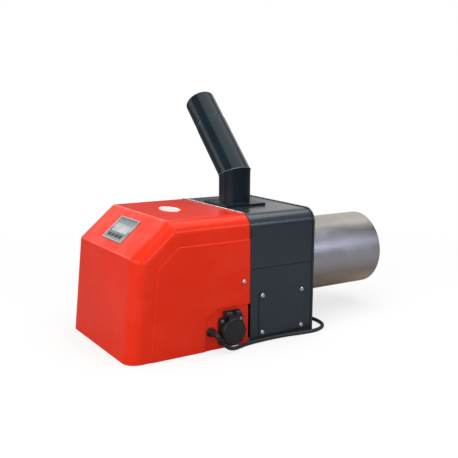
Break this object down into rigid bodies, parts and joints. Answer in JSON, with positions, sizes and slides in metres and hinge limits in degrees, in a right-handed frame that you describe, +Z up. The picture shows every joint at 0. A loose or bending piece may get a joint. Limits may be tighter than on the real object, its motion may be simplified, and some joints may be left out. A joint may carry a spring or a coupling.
{
  "type": "pellet burner",
  "caption": "Wood pellet burner: sloped hood with control display, steel box with leaning feed pipe, round stainless burner tube, hinged-lid socket and mains lead.",
  "frame": {"origin": "on the burner tube's axis at the boiler side of the rear plate", "axes": "+Y along the burner tube into the boiler, +Z up, +X towards the socket side"},
  "size_m": [0.3221, 0.6, 0.4436],
  "materials": {
    "red_plastic": "gloss moulded plastic",
    "black_coat": "semi-gloss powder coat",
    "pipe_coat": "semi-gloss powder coat",
    "stainless": "brushed stainless steel",
    "galvanised": "zinc coated sheet",
    "zinc": "bright zinc",
    "black_plastic": "fine grained moulding",
    "cord_pvc": "satin sheath",
    "silver_plastic": "satin silver",
    "lcd": "clear window over a pale display",
    "key_plastic": "moulded keys",
    "brass": "plain brass",
    "nickel": "nickel plate",
    "cast_alloy": "die cast",
    "motor_black": "satin black",
    "board_green": "solder resist",
    "relay_plastic": "moulded",
    "white_nylon": "moulded",
    "heat_ceramic": "fired ceramic"
  },
  "bodies": {
    "body": {"base_tray": "galvanised", "bulkhead_plate": "galvanised", "lower_housing": "black_coat", "upper_cover": "black_coat", "rear_plate": "black_coat", "service_hatch": "black_coat", "hatch_screws": "zinc", "red_hood": "red_plastic", "hood_brackets": "galvanised", "hood_screws": "zinc", "socket_panel": "red_plastic", "socket_body": "black_plastic", "socket_contacts": "nickel", "socket_screws": "zinc", "lid_hinge_pin": "zinc", "lid_spring": "zinc", "cable_gland": "black_plastic", "gland_nut": "black_plastic", "mains_cord": "cord_pvc", "cord_coil": "cord_pvc", "coil_tie": "black_plastic", "mains_plug": "black_plastic", "plug_pins": "nickel", "inlet_flange": "pipe_coat", "feed_pipe_lower": "pipe_coat", "feed_pipe_upper": "pipe_coat", "drop_chute": "galvanised", "auger_tube": "stainless", "shaft_bushing": "brass", "gearbox": "cast_alloy", "gearbox_screws": "zinc", "auger_motor": "motor_black", "fan_housing": "galvanised", "fan_screws": "zinc", "fan_motor": "motor_black", "igniter_tube": "stainless", "igniter_holder": "white_nylon", "igniter_rod": "heat_ceramic", "sight_tube": "stainless", "flame_sensor": "black_plastic", "burner_tube": "stainless", "combustion_chamber": "stainless", "grate": "stainless", "mouth_ring": "stainless", "display_bezel": "silver_plastic", "lcd_lens": "lcd", "control_board": "board_green", "board_parts": "relay_plastic", "terminal_block": "white_nylon"},
    "lid": {"socket_lid": "black_plastic"},
    "auger": {"auger_screw": "stainless", "drive_shaft": "zinc", "drive_pin": "zinc"},
    "fan": {"fan_impeller": "galvanised", "fan_shaft": "zinc"},
    "key_1": {"button_1": "key_plastic"},
    "key_2": {"button_2": "key_plastic"},
    "key_3": {"button_3": "key_plastic"},
    "key_4": {"button_4": "key_plastic"}
  },
  "joints": [
    {"name": "lid_open", "type": "hinge", "parent": "body", "child": "lid", "pos_m": [0.1385, -0.1813, -0.0525], "axis": [0, -1, 0], "range_deg": [0, 110], "stiffness_Nm_per_rad": 0.01, "springref_deg": -34.38},
    {"name": "auger_turn", "type": "hinge", "parent": "body", "child": "auger", "pos_m": [0, -0.1, -0.02], "axis": [0, 1, 0], "continuous": true},
    {"name": "fan_turn", "type": "hinge", "parent": "body", "child": "fan", "pos_m": [-0.066, -0.235, -0.02], "axis": [1, 0, 0], "continuous": true},
    {"name": "key_1_press", "type": "slide", "parent": "body", "child": "key_1", "axis": [0, 0.648, -0.7617], "range_m": [0, 0.001], "stiffness_N_per_m": 500, "springref_m": -0.0006},
    {"name": "key_2_press", "type": "slide", "parent": "body", "child": "key_2", "axis": [0, 0.648, -0.7617], "range_m": [0, 0.001], "stiffness_N_per_m": 500, "springref_m": -0.0006},
    {"name": "key_3_press", "type": "slide", "parent": "body", "child": "key_3", "axis": [0, 0.648, -0.7617], "range_m": [0, 0.001], "stiffness_N_per_m": 500, "springref_m": -0.0006},
    {"name": "key_4_press", "type": "slide", "parent": "body", "child": "key_4", "axis": [0, 0.648, -0.7617], "range_m": [0, 0.001], "stiffness_N_per_m": 500, "springref_m": -0.0006}
  ]
}
